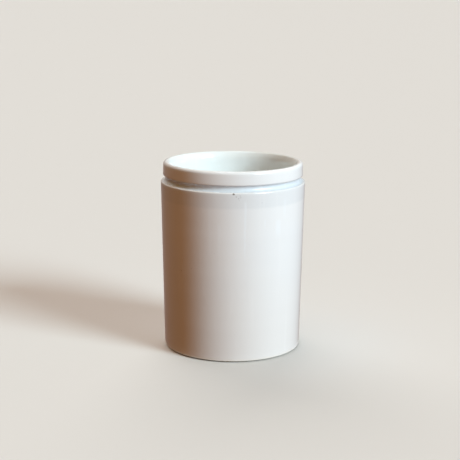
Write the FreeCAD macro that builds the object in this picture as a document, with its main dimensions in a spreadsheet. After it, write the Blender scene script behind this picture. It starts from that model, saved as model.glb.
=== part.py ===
import FreeCAD, Part
import math
import os

import Sketcher

# A straight-sided glazed jar with a string groove under its rim. It stands on z = 0 with its
# axis on Z. One closed half-section of the finished pot, glaze included, drives everything: the
# pot drawn in all round by the glaze's thickness is the clay, and the skin between the two is
# the glaze. Three cylinders part that skin into the coats that are put on one at a time.

doc = FreeCAD.newDocument("apothecary_jar")
V = FreeCAD.Vector

SIZES = {  # driving dimensions, in mm
    "jar_height": 130.7,
    "shoulder_radius": 50.0,
    "shoulder_height": 117.2,  # the flat step under the groove
    "shoulder_round": 1.0,
    "base_radius": 47.7,  # the wall narrows this far by the foot
    "base_round": 0.8,
    "base_edge_height": 1.5,  # the centre of that round, over the bevel down to the foot
    "groove_radius": 46.6,  # at the bottom of the string groove
    "groove_round": 2.1,
    "rim_radius": 48.45,  # at the rim's lower edge, its widest
    "rim_edge_round": 1.0,
    "lip_radius": 46.1,  # where the lip is highest
    "lip_round": 2.2,
    "mouth_radius": 42.7,  # inside the wall, below the flare
    "flare_round": 8.0,  # from the wall out to the lip
    "inside_floor_radius": 42.0,
    "inside_floor_height": 6.0,
    "inside_floor_round": 9.0,
    "underside_height": 2.2,  # the recess inside the foot ring
    "foot_inner_radius": 41.0,
    "foot_outer_radius": 46.2,
    "foot_edge_round": 0.8,
    "glaze_thickness": 0.3,
    "glaze_line": 1.1,  # the glaze is wiped off below this height, so that the foot is bare
}


def add_sheet():
    """The spreadsheet of driving dimensions, one aliased row each."""
    sheet = doc.addObject("Spreadsheet::Sheet", "sizes")
    for row, (name, value) in enumerate(SIZES.items(), start=1):
        sheet.set(f"A{row}", name)
        sheet.set(f"B{row}", str(value))
        sheet.setAlias(f"B{row}", name)
    doc.recompute()
    return sheet


def arc(centre_r, centre_z, radius, start, end):
    """An arc of the section, counter-clockwise between two angles in degrees."""
    circle = Part.Circle(V(centre_r, centre_z, 0), V(0, 0, 1), radius)
    return Part.ArcOfCircle(circle, math.radians(start), math.radians(end))


def line(start, end):
    """A straight run of the section between two (radius, height) points."""
    return Part.LineSegment(V(*start, 0), V(*end, 0))


def section_geometry(s):
    """The finished half-section in order, from the axis outwards under the foot, up the outside,
    over the lip and back down the inside. Near its final shape: the constraints settle it."""
    recess_round = s.underside_height - s.foot_edge_round
    recess_centre = s.foot_inner_radius - recess_round
    foot_centre = s.foot_inner_radius + s.foot_edge_round
    foot_outer_centre = s.foot_outer_radius - s.foot_edge_round
    base_centre = s.base_radius - s.base_round
    bevel_rise = s.base_edge_height - s.foot_edge_round
    bevel = math.degrees(math.atan2(bevel_rise, base_centre - foot_outer_centre))
    foot_outer_edge = arc(foot_outer_centre, s.foot_edge_round, s.foot_edge_round, -90, bevel - 90)
    base_edge = arc(base_centre, s.base_edge_height, s.base_round, bevel - 90, 0)
    shoulder_centre = s.shoulder_radius - s.shoulder_round
    corner_height = s.shoulder_height - s.shoulder_round
    groove_centre = s.groove_radius + s.groove_round
    groove_height = s.shoulder_height + s.groove_round
    rim_centre = s.rim_radius - s.rim_edge_round
    rounds = s.groove_round + s.rim_edge_round
    rim_height = groove_height + math.sqrt(rounds**2 - (groove_centre - rim_centre) ** 2)
    undercut = math.degrees(math.acos((rim_centre - groove_centre) / rounds))
    lip_height = s.jar_height - s.lip_round
    lip_outside = s.lip_radius + s.lip_round
    flare_centre = s.mouth_radius + s.flare_round
    spread = s.flare_round - s.lip_round
    flare_drop = math.sqrt(spread**2 - (flare_centre - s.lip_radius) ** 2)
    flare_height = lip_height - flare_drop
    flare_start = 180 - math.degrees(math.asin(flare_drop / spread))
    floor_centre = s.inside_floor_radius - s.inside_floor_round
    corner_top = s.inside_floor_height + s.inside_floor_round
    return {
        "underside": line((0, s.underside_height), (recess_centre, s.underside_height)),
        "recess": arc(recess_centre, s.foot_edge_round, recess_round, 0, 90),
        "foot_inner_edge": arc(foot_centre, s.foot_edge_round, s.foot_edge_round, 180, 270),
        "foot_contact": line((foot_centre, 0), (foot_outer_centre, 0)),
        "foot_outer_edge": foot_outer_edge,
        "bevel": Part.LineSegment(foot_outer_edge.EndPoint, base_edge.StartPoint),
        "base_edge": base_edge,
        "wall": line((s.base_radius, s.base_edge_height), (s.shoulder_radius, corner_height)),
        "shoulder": arc(shoulder_centre, corner_height, s.shoulder_round, 0, 90),
        "step": line((shoulder_centre, s.shoulder_height), (groove_centre, s.shoulder_height)),
        "groove": arc(groove_centre, groove_height, s.groove_round, undercut, 270),
        "rim_edge": arc(rim_centre, rim_height, s.rim_edge_round, undercut - 180, 0),
        "rim_face": line((s.rim_radius, rim_height), (lip_outside, lip_height)),
        "lip": arc(s.lip_radius, lip_height, s.lip_round, 0, flare_start),
        "flare": arc(flare_centre, flare_height, s.flare_round, flare_start, 180),
        "inside_wall": line((s.mouth_radius, flare_height), (s.inside_floor_radius, corner_top)),
        "floor_corner": arc(floor_centre, corner_top, s.inside_floor_round, 270, 360),
        "floor": line((floor_centre, s.inside_floor_height), (0, s.inside_floor_height)),
        "axis": line((0, s.inside_floor_height), (0, s.underside_height)),
    }


# Which end of each arc meets the run before it: 1 is its start, 2 its end. Lines start there.
ENTRY = {"recess": 2, "foot_inner_edge": 1, "foot_outer_edge": 1, "base_edge": 1, "shoulder": 1}
ENTRY.update({"groove": 2, "rim_edge": 1, "lip": 1, "flare": 1, "floor_corner": 2})

SHARP = {("floor", "axis"), ("axis", "underside")}

RADII = {
    "recess": "sizes.underside_height - sizes.foot_edge_round",
    "foot_inner_edge": "sizes.foot_edge_round",
    "foot_outer_edge": "sizes.foot_edge_round",
    "base_edge": "sizes.base_round",
    "shoulder": "sizes.shoulder_round",
    "groove": "sizes.groove_round",
    "rim_edge": "sizes.rim_edge_round",
    "lip": "sizes.lip_round",
    "flare": "sizes.flare_round",
    "floor_corner": "sizes.inside_floor_round",
}

CENTRE_RADII = {  # how far each arc's centre stands from the axis
    "foot_inner_edge": "sizes.foot_inner_radius + sizes.foot_edge_round",
    "foot_outer_edge": "sizes.foot_outer_radius - sizes.foot_edge_round",
    "base_edge": "sizes.base_radius - sizes.base_round",
    "shoulder": "sizes.shoulder_radius - sizes.shoulder_round",
    "groove": "sizes.groove_radius + sizes.groove_round",
    "rim_edge": "sizes.rim_radius - sizes.rim_edge_round",
    "lip": "sizes.lip_radius",
    "flare": "sizes.mouth_radius + sizes.flare_round",
    "floor_corner": "sizes.inside_floor_radius - sizes.inside_floor_round",
}

POINT_HEIGHTS = {  # the height of one point of a run: 1 is its start, 2 its end, 3 its centre
    ("underside", 1): "sizes.underside_height",
    ("base_edge", 3): "sizes.base_edge_height",
    ("step", 1): "sizes.shoulder_height",
    ("lip", 3): "sizes.jar_height - sizes.lip_round",
    ("floor", 2): "sizes.inside_floor_height",
}


GROUND_AXIS, UP_AXIS = -1, -2  # the sketch's own axes, as the solver numbers them
ORIGIN = (GROUND_AXIS, 1)


def add_section(sheet):
    """The sketch of the finished half-section, in the XZ plane, with every size bound."""
    sketch = doc.addObject("Sketcher::SketchObject", "finished_section")
    sketch.Placement = FreeCAD.Placement(V(), FreeCAD.Rotation(V(1, 0, 0), 90))
    geometry = section_geometry(sheet)
    number = {name: sketch.addGeometry(run) for name, run in geometry.items()}
    names = list(geometry)
    for name, following in zip(names, names[1:] + names[:1]):
        leave = 3 - ENTRY.get(name, 1)
        enter = ENTRY.get(following, 1)
        kind = "Coincident" if (name, following) in SHARP else "Tangent"
        joint = Sketcher.Constraint(kind, number[name], leave, number[following], enter)
        sketch.addConstraint(joint)
    for name in ("underside", "step", "floor"):
        sketch.addConstraint(Sketcher.Constraint("Horizontal", number[name]))
    for name, drawn_axis in (("axis", UP_AXIS), ("foot_contact", GROUND_AXIS)):
        for end in (1, 2):
            on_axis = Sketcher.Constraint("PointOnObject", number[name], end, drawn_axis)
            sketch.addConstraint(on_axis)

    def bind(kind, arguments, expression):
        index = sketch.addConstraint(Sketcher.Constraint(kind, *arguments))
        sketch.setExpression(f"Constraints[{index}]", expression)

    for name, expression in RADII.items():
        bind("Radius", (number[name], geometry[name].Radius), expression)
    for name, expression in CENTRE_RADII.items():
        bind("DistanceX", (*ORIGIN, number[name], 3, geometry[name].Center.x), expression)
    for (name, point), expression in POINT_HEIGHTS.items():
        run = geometry[name]
        height = (run.StartPoint, run.EndPoint, getattr(run, "Center", None))[point - 1].y
        bind("DistanceY", (*ORIGIN, number[name], point, height), expression)
    doc.recompute()
    return sketch


def add_turned(name, section):
    """A solid of revolution about Z."""
    turned = doc.addObject("Part::Revolution", name)
    turned.Source = section
    turned.Axis = V(0, 0, 1)
    turned.Angle = 360
    turned.Solid = True
    return turned


def add_cylinder(name, radius, bottom, height):
    """A cylinder about Z that marks off one zone of the skin."""
    zone = doc.addObject("Part::Cylinder", name)
    zone.setExpression("Radius", radius)
    zone.setExpression("Placement.Base.z", bottom)
    zone.setExpression("Height", height)
    return zone


def add_boolean(kind, name, base, tool):
    """A cut or a common of two objects."""
    result = doc.addObject(kind, name)
    result.Label = name
    result.Base = base
    result.Tool = tool
    return result


def add_fuse(name, shapes):
    """Several objects taken together."""
    fuse = doc.addObject("Part::MultiFuse", name)
    fuse.Shapes = shapes
    return fuse


def add_glaze_skin(finished):
    """The skin between the finished pot and its clay, all the way round."""
    clay = doc.addObject("Part::Offset", "clay")
    clay.Source = finished
    clay.setExpression("Value", "-sizes.glaze_thickness")
    clay.Join = "Intersection"
    return add_boolean("Part::Cut", "skin", finished, clay)


def add_zones():
    """The inside above the middle of the floor, the underside within the foot ring, and the
    bare foot. What is left of the skin is the outside."""
    mid_floor = "(sizes.underside_height + sizes.inside_floor_height) / 2"
    inside = add_cylinder("inside_zone", "sizes.lip_radius", mid_floor, "sizes.jar_height")
    underside = add_cylinder(
        "underside_zone",
        "(sizes.foot_inner_radius + sizes.base_radius) / 2",
        "sizes.glaze_line",
        f"{mid_floor} - sizes.glaze_line",
    )
    bare_foot = add_cylinder("bare_foot_zone", "sizes.shoulder_radius", "0", "sizes.glaze_line")
    return inside, underside, bare_foot


def build_jar():
    """The four sub-parts: the clay with its bare foot, and its three coats of glaze."""
    finished = add_turned("finished", add_section(add_sheet()))
    skin = add_glaze_skin(finished)
    inside, underside, bare_foot = add_zones()
    elsewhere = add_fuse("elsewhere", [inside, underside, bare_foot])
    outer_glaze = add_boolean("Part::Cut", "outer_glaze", skin, elsewhere)
    inner_glaze = add_boolean("Part::Common", "inner_glaze", skin, inside)
    base_glaze = add_boolean("Part::Common", "base_glaze", skin, underside)
    glazes = add_fuse("glazes", [outer_glaze, inner_glaze, base_glaze])
    ceramic_body = add_boolean("Part::Cut", "ceramic_body", finished, glazes)
    return [ceramic_body, outer_glaze, inner_glaze, base_glaze]


def check(subparts):
    """Stops if a sketch is loose, an object failed or a sub-part isn't one valid solid."""
    section = doc.getObject("finished_section")
    if not section.FullyConstrained:
        raise RuntimeError("the section is not fully constrained")
    for item in doc.Objects:
        if "Invalid" in item.State or "Error" in item.State:
            raise RuntimeError(f"{item.Name} failed: {item.State}")
    for part in subparts:
        shape = part.Shape
        if shape.isNull() or not shape.isValid() or len(shape.Solids) != 1:
            raise RuntimeError(f"{part.Label} is not one valid solid")


subparts = build_jar()
doc.recompute()
check(subparts)
os.makedirs("parts", exist_ok=True)
for part in subparts:
    part.Shape.exportStep(f"parts/{part.Label}.step")
    print(f"{part.Label}: {part.Shape.Volume:.1f} mm3, box {part.Shape.BoundBox}")
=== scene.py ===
import math

import bpy
from mathutils import Matrix, Vector, noise


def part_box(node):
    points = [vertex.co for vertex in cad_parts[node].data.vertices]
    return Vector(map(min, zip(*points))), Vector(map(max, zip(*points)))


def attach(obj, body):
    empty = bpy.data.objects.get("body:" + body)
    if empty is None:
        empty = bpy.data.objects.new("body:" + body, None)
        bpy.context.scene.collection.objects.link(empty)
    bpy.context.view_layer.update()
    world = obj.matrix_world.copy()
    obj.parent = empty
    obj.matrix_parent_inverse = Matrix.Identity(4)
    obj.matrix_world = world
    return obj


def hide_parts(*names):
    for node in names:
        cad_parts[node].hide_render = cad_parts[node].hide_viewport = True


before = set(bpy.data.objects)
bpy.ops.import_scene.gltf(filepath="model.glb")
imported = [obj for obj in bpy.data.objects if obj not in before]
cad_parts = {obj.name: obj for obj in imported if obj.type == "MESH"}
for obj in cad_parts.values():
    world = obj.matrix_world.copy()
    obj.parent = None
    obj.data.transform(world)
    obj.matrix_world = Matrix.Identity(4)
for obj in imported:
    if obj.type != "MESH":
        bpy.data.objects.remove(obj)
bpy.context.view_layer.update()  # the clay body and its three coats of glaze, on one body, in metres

# The jar is turned again here at full smoothness from the frame's own sizes: a skin of glaze
# over clay, with the slight unevenness that a thrown and glazed pot has.

MM = 0.001
TAU = 2 * math.pi

# Sizes read from the frame.
glaze_low, glaze_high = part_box("outer_glaze")
inside_low, inside_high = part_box("inner_glaze")
base_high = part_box("base_glaze")[1]
clay_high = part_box("ceramic_body")[1]
JAR_HEIGHT = glaze_high.z
SHOULDER_RADIUS = glaze_high.x
GLAZE = glaze_high.z - clay_high.z
GLAZE_LINE = glaze_low.z
LIP_RADIUS = inside_high.x
FLOOR_HEIGHT = inside_low.z + GLAZE
UNDERSIDE_HEIGHT = base_high.z - GLAZE
FOOT_INNER_RADIUS = base_high.x - GLAZE

# The rest of the section, which the boxes don't give. These repeat the part's own sizes.
SHOULDER_HEIGHT = 117.2 * MM
SHOULDER_ROUND = 1.0 * MM
BASE_RADIUS = 47.7 * MM
BASE_ROUND = 0.8 * MM
BASE_EDGE_HEIGHT = 1.5 * MM
GROOVE_RADIUS = 46.6 * MM
GROOVE_ROUND = 2.1 * MM
RIM_RADIUS = 48.45 * MM
RIM_EDGE_ROUND = 1.0 * MM
LIP_ROUND = 2.2 * MM
MOUTH_RADIUS = 42.7 * MM
FLARE_ROUND = 8.0 * MM
INSIDE_FLOOR_RADIUS = 42.0 * MM
INSIDE_FLOOR_ROUND = 9.0 * MM
FOOT_OUTER_RADIUS = 46.2 * MM
FOOT_EDGE_ROUND = 0.8 * MM

AROUND = 320  # points round every turned piece
SEEN_STEP = 2.0 * MM  # between the rings on a straight run
HIDDEN_STEP = 5.0 * MM
ARC_STEP = math.radians(11)
MIN_ARC_STEPS = 3
END_STEPS = 4  # round the edge in which a coat stops
ON_AXIS = 0.0001 * MM  # a point nearer the axis than this is on it
SHARP_ANGLE = math.radians(50)


# ---- The section: circles in turn, with straight runs tangent to each pair between them ----
# A circle is (radius from the axis, height, round). The round is positive on an outward corner
# and negative in a hollow, and the outline goes anticlockwise with the pot on its left.

def drawn_in(circle, inset):
    """The same corner on a surface that lies inset inside the pot's."""
    radius, height, rounding = circle
    return radius, height, rounding - inset


def tangent_normal(first, second):
    """The angle of the outward normal on the straight run from one circle to the next."""
    (r1, z1, round1), (r2, z2, round2) = first, second
    length = math.hypot(r2 - r1, z2 - z1)
    lean = max(-1.0, min(1.0, (round1 - round2) / length))  # 1 or -1 where the circles touch
    return math.atan2(z2 - z1, r2 - r1) - math.acos(lean)


def on_circle(circle, angle):
    radius, height, rounding = circle
    return radius + rounding * math.cos(angle), height + rounding * math.sin(angle)


def run_round(circles, start, end, step=SEEN_STEP):
    """The outline round the circles in turn, from the normal angle start on the first one to
    end on the last, with its straight runs cut into even steps."""
    normals = [start]
    normals += [tangent_normal(a, b) for a, b in zip(circles, circles[1:])]
    normals.append(end)
    points = []
    for circle, enter, leave in zip(circles, normals, normals[1:]):
        turn = (leave - enter) % TAU if circle[2] > 0 else -((enter - leave) % TAU)
        if points:
            points += along(points.pop(), on_circle(circle, enter), step)
        steps = max(MIN_ARC_STEPS, round(abs(turn) / ARC_STEP))
        first = 1 if points else 0
        points += [on_circle(circle, enter + turn * i / steps) for i in range(first, steps + 1)]
    return points


def along(start, end, step=SEEN_STEP):
    """Even steps from one point to another, both ends included."""
    steps = max(1, round(math.dist(start, end) / step))
    return [
        tuple(a + (b - a) * i / steps for a, b in zip(start, end)) for i in range(steps + 1)
    ]


def rim_edge_height():
    """How high the rim's lower edge is centred, for its round to touch the groove's."""
    across = RIM_RADIUS - RIM_EDGE_ROUND - (GROOVE_RADIUS + GROOVE_ROUND)
    rounds = GROOVE_ROUND + RIM_EDGE_ROUND
    return SHOULDER_HEIGHT + GROOVE_ROUND + math.sqrt(rounds**2 - across**2)


def flare_height():
    """How high the flare is centred, for its round to pass smoothly into the lip's."""
    across = MOUTH_RADIUS + FLARE_ROUND - LIP_RADIUS
    return JAR_HEIGHT - LIP_ROUND - math.sqrt((FLARE_ROUND - LIP_ROUND) ** 2 - across**2)


FOOT_OUTER = (FOOT_OUTER_RADIUS - FOOT_EDGE_ROUND, FOOT_EDGE_ROUND, FOOT_EDGE_ROUND)
BASE_EDGE = (BASE_RADIUS - BASE_ROUND, BASE_EDGE_HEIGHT, BASE_ROUND)
SHOULDER = (SHOULDER_RADIUS - SHOULDER_ROUND, SHOULDER_HEIGHT - SHOULDER_ROUND, SHOULDER_ROUND)
GROOVE = (GROOVE_RADIUS + GROOVE_ROUND, SHOULDER_HEIGHT + GROOVE_ROUND, -GROOVE_ROUND)
RIM_EDGE = (RIM_RADIUS - RIM_EDGE_ROUND, rim_edge_height(), RIM_EDGE_ROUND)
LIP = (LIP_RADIUS, JAR_HEIGHT - LIP_ROUND, LIP_ROUND)
FLARE = (MOUTH_RADIUS + FLARE_ROUND, flare_height(), FLARE_ROUND)
FLOOR_CORNER = (
    INSIDE_FLOOR_RADIUS - INSIDE_FLOOR_ROUND,
    FLOOR_HEIGHT + INSIDE_FLOOR_ROUND,
    -INSIDE_FLOOR_ROUND,
)
RECESS = (
    FOOT_INNER_RADIUS - UNDERSIDE_HEIGHT + FOOT_EDGE_ROUND,
    FOOT_EDGE_ROUND,
    FOOT_EDGE_ROUND - UNDERSIDE_HEIGHT,
)
WALL_CHAIN = [BASE_EDGE, SHOULDER, GROOVE, RIM_EDGE, LIP, FLARE, FLOOR_CORNER]
DOWN, UP = -math.pi / 2, math.pi / 2


def coat_surface(inset, step):
    """The glaze coat's surface from the glaze line up the outside, over the lip, down inside
    and across the floor to the axis: the glass at inset 0, its clay side at its thickness."""
    circles = [drawn_in(c, inset) for c in WALL_CHAIN]
    start = -math.asin((BASE_EDGE_HEIGHT - GLAZE_LINE) / circles[0][2])
    points = run_round(circles, start, UP, step)
    return points + along(points[-1], (0.0, points[-1][1]), step)[1:]


def rounded_end(outer, inner):
    """The half-round edge in which a coat of glaze stops, from one face to the other."""
    middle = [(a + b) / 2 for a, b in zip(outer, inner)]
    half = [(a - b) / 2 for a, b in zip(outer, inner)]
    out = (half[1], -half[0])
    turns = [math.pi * i / END_STEPS for i in range(1, END_STEPS)]
    return [
        tuple(m + h * math.cos(t) + o * math.sin(t) for m, h, o in zip(middle, half, out))
        for t in turns
    ]


def coat_outline():
    """The glaze outside and inside, as one closed skin."""
    glass, clay_side = coat_surface(0.0, SEEN_STEP), coat_surface(GLAZE, HIDDEN_STEP)
    return list(reversed(glass)) + rounded_end(glass[0], clay_side[0]) + clay_side


def base_coat_outline():
    """The glaze in the recess under the jar."""
    glass = [(0.0, UNDERSIDE_HEIGHT)] + under_run(RECESS)
    clay_side = [(0.0, UNDERSIDE_HEIGHT + GLAZE)] + under_run(drawn_in(RECESS, GLAZE))
    return glass + rounded_end(clay_side[-1], glass[-1])[::-1] + clay_side[::-1]


def under_run(recess):
    """From near the axis out under the jar and down the foot ring's inner side."""
    corner = run_round([recess], DOWN, -math.pi)
    return along((0.0, corner[0][1]), corner[0])[1:-1] + corner


def clay_outline():
    """The clay under its glaze, with the bare foot ring that it stands on."""
    recess = drawn_in(RECESS, GLAZE)
    foot_inner = (FOOT_INNER_RADIUS + GLAZE + FOOT_EDGE_ROUND, FOOT_EDGE_ROUND, FOOT_EDGE_ROUND)
    chain = [recess, foot_inner, FOOT_OUTER]
    chain += [drawn_in(c, GLAZE) for c in WALL_CHAIN]
    points = run_round(chain, DOWN, UP, HIDDEN_STEP)
    points = along((0.0, points[0][1]), points[0], HIDDEN_STEP)[:-1] + points
    return points + along(points[-1], (0.0, points[-1][1]), HIDDEN_STEP)[1:]


# ---- Turned meshes ----

def uneven(point):
    """Where a point of the true section lies on the pot as made: a little out of round and
    level towards the rim, with faint turning rings, and true at the foot it stands on. The
    amounts are in mm."""
    x, y, z = point
    angle = math.atan2(y, x)
    radius = math.hypot(x, y)
    rise = min(1.0, max(0.0, z / JAR_HEIGHT))
    oval = 0.10 * math.cos(2 * (angle - 0.6)) + 0.05 * math.cos(3 * angle + 1.0)
    rings = 0.05 * noise.noise(Vector((z / (9 * MM), 0.3 * math.cos(angle), 7.0)))
    stretch = 1 + (oval * rise**2 + rings * min(1.0, 8 * rise)) * MM / SHOULDER_RADIUS
    tilt = 0.06 * math.cos(angle + 2.2) + 0.05 * math.cos(2 * angle - 0.8)
    return Vector((x * stretch, y * stretch, z + tilt * rise**4 * MM))


def turned(name, outline):
    """A closed mesh turned about Z from an outline that may start and end on the axis."""
    rings = [p for p in outline if p[0] > ON_AXIS]
    starts_on_axis, ends_on_axis = outline[0][0] <= ON_AXIS, outline[-1][0] <= ON_AXIS
    vertices = []
    for radius, height in rings:
        for i in range(AROUND):
            a = TAU * i / AROUND
            vertices.append(Vector((radius * math.cos(a), radius * math.sin(a), height)))
    faces = []
    for k in range(len(rings) - (1 if starts_on_axis and ends_on_axis else 0)):
        low, high = k * AROUND, (k + 1) % len(rings) * AROUND
        for i in range(AROUND):
            j = (i + 1) % AROUND
            faces.append((low + i, low + j, high + j, high + i))
    if starts_on_axis:
        pole = len(vertices)
        vertices.append(Vector((0, 0, outline[0][1])))
        faces += [(pole, (i + 1) % AROUND, i) for i in range(AROUND)]
    if ends_on_axis:
        pole, last = len(vertices), (len(rings) - 1) * AROUND
        vertices.append(Vector((0, 0, outline[-1][1])))
        faces += [(pole, last + i, last + (i + 1) % AROUND) for i in range(AROUND)]
    mesh = bpy.data.meshes.new(name)
    mesh.from_pydata([uneven(v) for v in vertices], [], faces)
    mesh.shade_smooth()
    mesh.set_sharp_from_angle(angle=SHARP_ANGLE)
    piece = bpy.data.objects.new(name, mesh)
    bpy.context.scene.collection.objects.link(piece)
    return piece


# ---- Materials, in metres from the jar's own origin ----

# The marks in the glaze: azimuth in degrees, height, radius, how dark. The iron spot under the
# shoulder with its spatter, and a faint smudge lower down.
GLAZE_MARKS = (
    (0.6, 116.4, 1.00, 0.85),
    (2.6, 114.6, 0.55, 0.30),
    (4.4, 113.4, 0.60, 0.28),
    (5.6, 115.2, 0.55, 0.25),
    (6.0, 114.0, 0.50, 0.24),
    (4.8, 112.2, 0.45, 0.18),
    (-17.6, 51.2, 1.00, 0.34),
    (-16.4, 50.6, 0.60, 0.20),
    (-6.0, 61.5, 0.60, 0.12),
)

# Painted reflections of the window, as faint whiter upright streaks in the glaze: azimuth in
# degrees, top, bottom and half the width in mm, how white.
PAINTED_REFLECTION_STREAKS = (
    (9.6, 111, 70, 1.3, 0.45),
    (-17.5, 107, 76, 2.0, 0.30),
    (-10.5, 96, 76, 1.8, 0.25),
    (25.5, 98, 92, 1.0, 0.35),
    (38.0, 97, 87, 3.4, 0.35),
    (44.5, 111, 99, 2.0, 0.18),
)

# The dip band under the shoulder: where it starts, is full, begins to fade, and ends.
DIP_START, DIP_FULL = 105.2 * MM, 107.6 * MM
DIP_FADE, DIP_END = 116.9 * MM, 117.6 * MM

FLOOR_COLOUR = (0.66, 0.645, 0.62)


class Finish:
    """A node material, with a short call for each kind of node that it uses."""

    def __init__(self, name):
        self.material = bpy.data.materials.new(name)
        self.material.use_nodes = True
        self.tree = self.material.node_tree
        self.surface = self.tree.nodes["Principled BSDF"]

    def node(self, kind, **settings):
        node = self.tree.nodes.new("ShaderNode" + kind)
        for name, value in settings.items():
            setattr(node, name, value)
        return node

    def feed(self, socket, value):
        if isinstance(value, bpy.types.NodeSocket):
            self.tree.links.new(value, socket)
        else:
            socket.default_value = value

    def set(self, name, value):
        self.feed(self.surface.inputs[name], value)

    def math(self, operation, *values):
        node = self.node("Math", operation=operation)
        for socket, value in zip(node.inputs, values):
            self.feed(socket, value)
        return node.outputs[0]

    def add(self, *values):
        total = values[0]
        for value in values[1:]:
            total = self.math("ADD", total, value)
        return total

    def most(self, *values):
        total = values[0]
        for value in values[1:]:
            total = self.math("MAXIMUM", total, value)
        return total

    def times(self, *values):
        total = values[0]
        for value in values[1:]:
            total = self.math("MULTIPLY", total, value)
        return total

    def vector(self, operation, *values, output="Vector"):
        node = self.node("VectorMath", operation=operation)
        for socket, value in zip(node.inputs, values):
            self.feed(socket, value)
        return node.outputs[output]

    def smooth(self, value, nothing, full):
        """0 where the value is at nothing, 1 where it is at full, and smooth between them."""
        node = self.node("MapRange", interpolation_type="SMOOTHSTEP")
        self.feed(node.inputs["Value"], value)
        node.inputs["From Min"].default_value = nothing
        node.inputs["From Max"].default_value = full
        return node.outputs["Result"]

    def mix(self, amount, under, over):
        node = self.node("Mix", data_type="RGBA")
        self.feed(socket_of(node.inputs, "Factor_Float"), amount)
        for name, colour in (("A_Color", under), ("B_Color", over)):
            colour = (*colour, 1) if isinstance(colour, tuple) else colour
            self.feed(socket_of(node.inputs, name), colour)
        return socket_of(node.outputs, "Result_Color")

    def noise(self, place, size, detail=2.0, stretch=(1, 1, 1), roughness=0.5):
        """Noise whose features are about size across, from 0 to 1."""
        where = self.vector("MULTIPLY", place, tuple(k / size for k in stretch))
        node = self.node("TexNoise")
        self.feed(node.inputs["Vector"], where)
        node.inputs["Scale"].default_value = 1.0
        node.inputs["Detail"].default_value = detail
        node.inputs["Roughness"].default_value = roughness
        return node.outputs["Fac"]

    def ragged(self, place, size, reach):
        """The place, pushed about by up to reach so that an outline drawn there is uneven."""
        node = self.node("TexNoise")
        self.feed(node.inputs["Vector"], place)
        node.inputs["Scale"].default_value = 1 / size
        push = self.vector("SUBTRACT", node.outputs["Color"], (0.5, 0.5, 0.5))
        return self.vector("MULTIPLY_ADD", push, (2 * reach,) * 3, place)

    def dots(self, place, spacing, size):
        """Small round dots scattered through space, of which a surface meets a few."""
        node = self.node("TexVoronoi")
        self.feed(node.inputs["Vector"], place)
        node.inputs["Scale"].default_value = 1 / spacing
        return self.smooth(self.times(node.outputs["Distance"], spacing), size, size * 0.4)

    def spot(self, place, azimuth, radius, height, size):
        """One round mark where it is on the jar."""
        direction = toward(azimuth, 0) * radius + Vector((0, 0, height))
        away = self.vector("DISTANCE", place, direction, output="Value")
        return self.smooth(away, size, size * 0.35)

    def streak(self, place, height, azimuth, top, bottom, width):
        """A soft upright streak that is width to either side of where it is on the jar."""
        flat = self.vector("MULTIPLY", place, (1, 1, 0))
        away = self.vector("DISTANCE", flat, toward(azimuth, 0) * SHOULDER_RADIUS, output="Value")
        ends = self.times(
            self.smooth(height, bottom - 4 * MM, bottom + 4 * MM),
            self.smooth(height, top + 2 * MM, top - 2 * MM),
        )
        return self.times(self.smooth(away, width, width * 0.25), ends)

    def ring(self, radius, height, about, far, near):
        """A band round the jar about a circle in its section: 1 within near, 0 beyond far."""
        (at_radius, at_height) = about
        across = self.math("SUBTRACT", radius, at_radius)
        up = self.math("SUBTRACT", height, at_height)
        away = self.math("SQRT", self.add(self.times(across, across), self.times(up, up)))
        return self.smooth(away, far, near)

    def bump(self, *layers):
        """Raised detail, from pairs of a height from 0 to 1 and its depth in metres."""
        normal = None
        for height, depth in layers:
            node = self.node("Bump")
            node.inputs["Strength"].default_value = 1.0
            node.inputs["Distance"].default_value = depth
            self.feed(node.inputs["Height"], height)
            if normal is not None:
                self.feed(node.inputs["Normal"], normal)
            normal = node.outputs["Normal"]
        self.set("Normal", normal)


def socket_of(sockets, identifier):
    return next(socket for socket in sockets if socket.identifier == identifier)


def section_place(finish):
    """Where the shaded point is: its place, distance from the axis, and height."""
    place = finish.node("TexCoord").outputs["Object"]
    flat = finish.vector("MULTIPLY", place, (1, 1, 0))
    radius = finish.vector("LENGTH", flat, output="Value")
    split = finish.node("SeparateXYZ")
    finish.feed(split.inputs[0], place)
    return place, radius, split.outputs["Z"]


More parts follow.
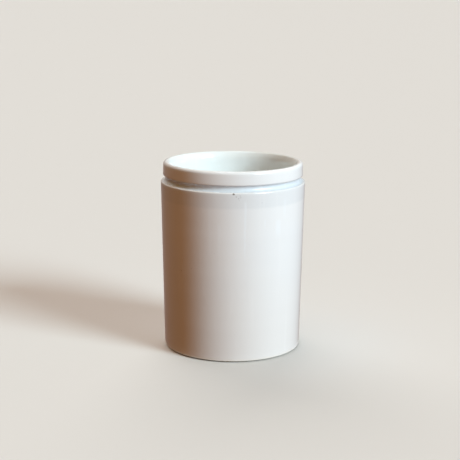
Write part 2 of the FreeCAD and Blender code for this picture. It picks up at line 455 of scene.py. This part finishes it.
def glaze_material():
    """White glaze: cooler where it lies thick, warmer where it thins over an edge, with faint runs,
    iron specks and a few pits. Painted light in it too: shade inside the mouth and partly in the
    groove, a warm reflection of the table that darkens it towards the foot and partly makes the
    cream line there, and faint whiter streaks that are reflections of the window."""
    g = Finish("white_glaze")
    place, radius, height = section_place(g)

    cloud = g.noise(place, 45 * MM, 3)
    colour = g.mix(g.smooth(cloud, 0.3, 0.7), (0.852, 0.874, 0.892), (0.870, 0.882, 0.888))

    # Painted reflection of a warm table below: the outer wall darker and warmer towards the foot.
    painted_table_reflection = g.times(g.smooth(height, 120 * MM, -10 * MM), g.smooth(radius, 44 * MM, 46 * MM))
    colour = g.mix(g.times(painted_table_reflection, 0.7), colour, (0.775, 0.765, 0.745))

    # Painted shade: the glaze inside the mouth is a darker copy of the outside's.
    inside_painted_shade = g.smooth(radius, 46.2 * MM, 44.8 * MM)
    colour = g.mix(inside_painted_shade, colour, (0.800, 0.834, 0.827))

    wander = g.times(g.math("SUBTRACT", g.noise(place, 14 * MM, 2), 0.5), 1.2 * MM)
    pooled_and_painted_shade = g.times(
        g.ring(radius, g.add(height, wander), (GROOVE[0], GROOVE[1]), 3.0 * MM, 2.1 * MM),
        g.smooth(radius, 49.2 * MM, 48.2 * MM),
    )
    band = g.times(
        g.smooth(g.add(height, wander), DIP_START, DIP_FULL),
        g.smooth(height, DIP_END, DIP_FADE),
        g.smooth(radius, 47 * MM, 49 * MM),
    )
    # Bluer, darker glaze in the groove: partly glaze pooled there, partly painted shade and painted
    # cool light in the hollow under the rim.
    colour = g.mix(g.times(pooled_and_painted_shade, 0.85), colour, (0.68, 0.75, 0.81))
    colour = g.mix(g.times(band, 0.65), colour, (0.770, 0.800, 0.822))

    edges = g.most(
        g.ring(radius, height, (LIP[0], JAR_HEIGHT), 2.0 * MM, 0.3 * MM),
        g.ring(radius, height, (SHOULDER_RADIUS, SHOULDER_HEIGHT), 1.2 * MM, 0.3 * MM),
        g.ring(radius, height, (RIM_RADIUS, RIM_EDGE[1] - RIM_EDGE_ROUND), 1.3 * MM, 0.4 * MM),
    )
    # A warm cream line just above the foot: partly glaze thinning there, partly a painted warm
    # reflection of the table.
    base_line_and_painted_reflection = g.times(
        g.smooth(height, 3.4 * MM, 0.9 * MM), g.smooth(radius, 44 * MM, 46 * MM)
    )
    patchy = g.smooth(g.noise(place, 7 * MM, 3), 0.25, 0.75)
    thin_glaze_and_painted_reflection = g.most(g.times(edges, 0.25), g.times(base_line_and_painted_reflection, 0.30))
    colour = g.mix(g.times(thin_glaze_and_painted_reflection, g.add(0.45, g.times(patchy, 0.55))), colour, (0.84, 0.75, 0.62))

    runs = g.noise(place, 5 * MM, 2, stretch=(1, 1, 0.07))
    colour = g.mix(g.times(g.smooth(runs, 0.52, 0.78), 0.10), colour, (0.75, 0.78, 0.78))
    colour = g.mix(g.times(g.smooth(runs, 0.44, 0.25), 0.22), colour, (0.90, 0.91, 0.91))

    # Faint whiter upright streaks: painted reflections of the window in the glaze.
    wavy = g.ragged(place, 12 * MM, 0.6 * MM)
    painted_reflections = g.most(*(
        g.times(g.streak(wavy, height, azimuth, top * MM, bottom * MM, width * MM), strength)
        for azimuth, top, bottom, width, strength in PAINTED_REFLECTION_STREAKS
    ))
    colour = g.mix(painted_reflections, colour, (0.90, 0.95, 0.99))

    ragged = g.ragged(place, 0.9 * MM, 0.35 * MM)
    specks = g.most(
        g.times(g.dots(ragged, 11 * MM, 0.32 * MM), 0.55),
        g.times(g.dots(g.vector("ADD", ragged, (0.05, 0.11, 0.07)), 6 * MM, 0.16 * MM), 0.45),
    )
    marks = g.most(*(
        g.times(g.spot(ragged, azimuth, SHOULDER_RADIUS, z * MM, size * MM), strength)
        for azimuth, z, size, strength in GLAZE_MARKS
    ))
    colour = g.mix(g.most(specks, marks), colour, (0.11, 0.085, 0.065))
    g.set("Base Color", colour)

    wear = g.noise(place, 9 * MM, 4)
    rough = g.add(0.075, g.times(wear, 0.09), g.times(g.most(base_line_and_painted_reflection, pooled_and_painted_shade), 0.14))
    g.set("Roughness", rough)
    g.surface.inputs["IOR"].default_value = 1.52

    elsewhere = g.vector("ADD", place, (0.2, 0.0, 0.3))
    pits = g.math("SUBTRACT", 1.0, g.dots(elsewhere, 7 * MM, 0.22 * MM))
    g.bump(
        (g.noise(place, 11 * MM, 1, stretch=(0.35, 0.35, 1)), 0.045 * MM),
        (g.noise(place, 3.2 * MM, 2), 0.018 * MM),
        (runs, 0.020 * MM),
        (pits, 0.05 * MM),
        (marks, -0.04 * MM),
    )
    return g.material


def clay_material():
    """Unglazed fired clay: matt, buff and gritty, rubbed, and darkened where it stands by dirt and
    painted contact shade.
    """
    c = Finish("bare_clay")
    place, radius, height = section_place(c)
    tone = c.mix(c.noise(place, 6 * MM, 4), (0.60, 0.53, 0.43), (0.72, 0.66, 0.56))
    grit = c.smooth(c.noise(place, 0.6 * MM, 2), 0.60, 0.78)
    colour = c.mix(c.times(grit, 0.35), tone, (0.42, 0.35, 0.27))
    patches = c.add(0.55, c.times(c.smooth(c.noise(place, 4 * MM, 4), 0.35, 0.65), 0.45))
    # Dark low on the foot: partly dirt, partly painted contact shade where the jar stands on the
    # floor.
    dirt_and_contact_shade = c.times(c.smooth(height, 1.5 * MM, 0.3 * MM), patches)
    colour = c.mix(c.times(dirt_and_contact_shade, 0.80), colour, (0.16, 0.11, 0.07))
    iron = c.dots(place, 4 * MM, 0.3 * MM)
    colour = c.mix(c.times(iron, 0.7), colour, (0.13, 0.08, 0.05))
    c.set("Base Color", colour)
    c.set("Roughness", c.add(0.78, c.times(c.noise(place, 3 * MM, 3), 0.15)))
    c.bump((c.noise(place, 0.5 * MM, 3, roughness=0.6), 0.06 * MM), (grit, 0.05 * MM))
    return c.material


def floor_material():
    """Plain pale studio paper."""
    f = Finish("pale_floor")
    f.surface.inputs["Base Color"].default_value = (*FLOOR_COLOUR, 1)
    f.surface.inputs["Roughness"].default_value = 0.85
    return f.material


def toward(azimuth, elevation):
    """The direction from the jar. Azimuth 0 is the camera's side and 90 its right."""
    a, e = math.radians(azimuth), math.radians(elevation)
    return Vector((math.sin(a) * math.cos(e), -math.cos(a) * math.cos(e), math.sin(e)))


# ---- The scene ----

def add_floor(name, inner, outer, material, lights_the_jar):
    """A flat ring of floor about the jar, or a disc where it has no inner radius."""
    count = 128
    around = [TAU * i / count for i in range(count)]
    radii = [outer, inner] if inner else [outer]
    vertices = [(r * math.cos(a), r * math.sin(a), 0) for r in radii for a in around]
    if inner:
        faces = [
            (i, (i + 1) % count, count + (i + 1) % count, count + i) for i in range(count)
        ]
    else:
        faces = [tuple(range(count))]
    mesh = bpy.data.meshes.new(name)
    mesh.from_pydata(vertices, [], faces)
    mesh.materials.append(material)
    floor = bpy.data.objects.new(name, mesh)
    floor.visible_diffuse = floor.visible_glossy = lights_the_jar
    bpy.context.scene.collection.objects.link(floor)


def add_light(name, strength, colour, azimuth, elevation, spread, gleams=True):
    """Even light from one side, as soft as a window that looks spread degrees wide. One that
    doesn't gleam is not seen in the glaze."""
    data = bpy.data.lights.new(name, "SUN")
    data.energy, data.color, data.angle = strength, colour, math.radians(spread)
    light = bpy.data.objects.new(name, data)
    light.rotation_euler = toward(azimuth, elevation).to_track_quat("Z", "Y").to_euler()
    light.visible_glossy = gleams
    bpy.context.scene.collection.objects.link(light)


def add_world(base, lobes, backdrop):
    """Soft light from all round: a base colour, and lobes of (colour, azimuth, elevation,
    sharpness) that fade smoothly to nothing. The camera itself sees a plain backdrop."""
    world = bpy.data.worlds.new("studio")
    world.use_nodes = True
    tree = world.node_tree
    nodes, links = tree.nodes, tree.links
    background = nodes["Background"]
    direction = nodes.new("ShaderNodeTexCoord").outputs["Generated"]
    total = None
    for colour, azimuth, elevation, sharpness in lobes:
        facing = nodes.new("ShaderNodeVectorMath")
        facing.operation = "DOT_PRODUCT"
        links.new(direction, facing.inputs[0])
        facing.inputs[1].default_value = toward(azimuth, elevation)
        front = nodes.new("ShaderNodeMath")
        front.operation = "MAXIMUM"
        links.new(facing.outputs["Value"], front.inputs[0])
        front.inputs[1].default_value = 0.0
        fade = nodes.new("ShaderNodeMath")
        fade.operation = "POWER"
        links.new(front.outputs[0], fade.inputs[0])
        fade.inputs[1].default_value = sharpness
        glow = nodes.new("ShaderNodeVectorMath")
        glow.operation = "MULTIPLY_ADD"
        links.new(fade.outputs[0], glow.inputs[0])
        glow.inputs[1].default_value = colour
        if total is None:
            glow.inputs[2].default_value = base
        else:
            links.new(total, glow.inputs[2])
        total = glow.outputs[0]
    rays = nodes.new("ShaderNodeLightPath")
    seen = nodes.new("ShaderNodeMix")
    seen.data_type = "RGBA"
    links.new(rays.outputs["Is Camera Ray"], socket_of(seen.inputs, "Factor_Float"))
    links.new(total, socket_of(seen.inputs, "A_Color"))
    socket_of(seen.inputs, "B_Color").default_value = (*backdrop, 1)
    links.new(socket_of(seen.outputs, "Result_Color"), background.inputs["Color"])
    bpy.context.scene.world = world


def add_camera():
    """From in front and a little above, as the jar was looked at."""
    data = bpy.data.cameras.new("camera")
    data.sensor_width, data.lens = 36.0, 90.98
    data.clip_end = 60.0
    camera = bpy.data.objects.new("camera", data)
    turn = Matrix.Rotation(math.radians(0.13), 4, "Z")
    pitch = Matrix.Rotation(math.radians(90 - 12.48), 4, "X")
    roll = Matrix.Rotation(math.radians(0.34), 4, "Z")
    camera.matrix_world = Matrix.Translation((0, -0.7963, 0.2577)) @ turn @ pitch @ roll
    bpy.context.scene.collection.objects.link(camera)
    bpy.context.scene.camera = camera


glaze_coat = turned("glaze_coat", coat_outline())
base_coat = turned("base_coat", base_coat_outline())
clay = turned("clay", clay_outline())
white, bisque = glaze_material(), clay_material()
for piece, material, slot, nodes in (
    (glaze_coat, white, "white_glaze", ("outer_glaze", "inner_glaze")),
    (base_coat, white, "white_glaze", ("base_glaze",)),
    (clay, bisque, "clay", ("ceramic_body",)),
):
    piece.data.materials.append(material)
    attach(piece, "root")
    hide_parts(*nodes)

# Only the floor close to the jar throws light back on it: the rest would wash out the shaded
# side, so the world below the horizon stands in for it there.
NEAR_FLOOR, FAR_FLOOR = 0.0495, 20.0
paper = floor_material()
add_floor("floor_near", 0, NEAR_FLOOR, paper, True)
add_floor("floor_far", NEAR_FLOOR, FAR_FLOOR, paper, False)
add_light("window", 3.96, (0.742, 0.922, 1.0), 53.5, 25, 24)
add_light("fill", 1.85, (1.0, 0.97, 0.93), 194, 32, 60, gleams=False)
add_world(
    (0.020, 0.016, 0.014),
    [
        ((0.17, 0.048, 0.018), 0, -90, 0.3),
        ((0.51, 0.49, 0.48), 180, 20, 5),
        ((2.30, 3.60, 5.00), -90, 82, 60),
        ((1.35, 0.74, 0.18), -90, 70, 12),
        ((0.38, 0.175, 0.045), 0, 25, 3),
        ((0.25, 0.10, 0.04), 95, 15, 3),
    ],
    (0.675, 0.648, 0.600),
)
add_camera()
bpy.context.scene.view_settings.view_transform = "Standard"
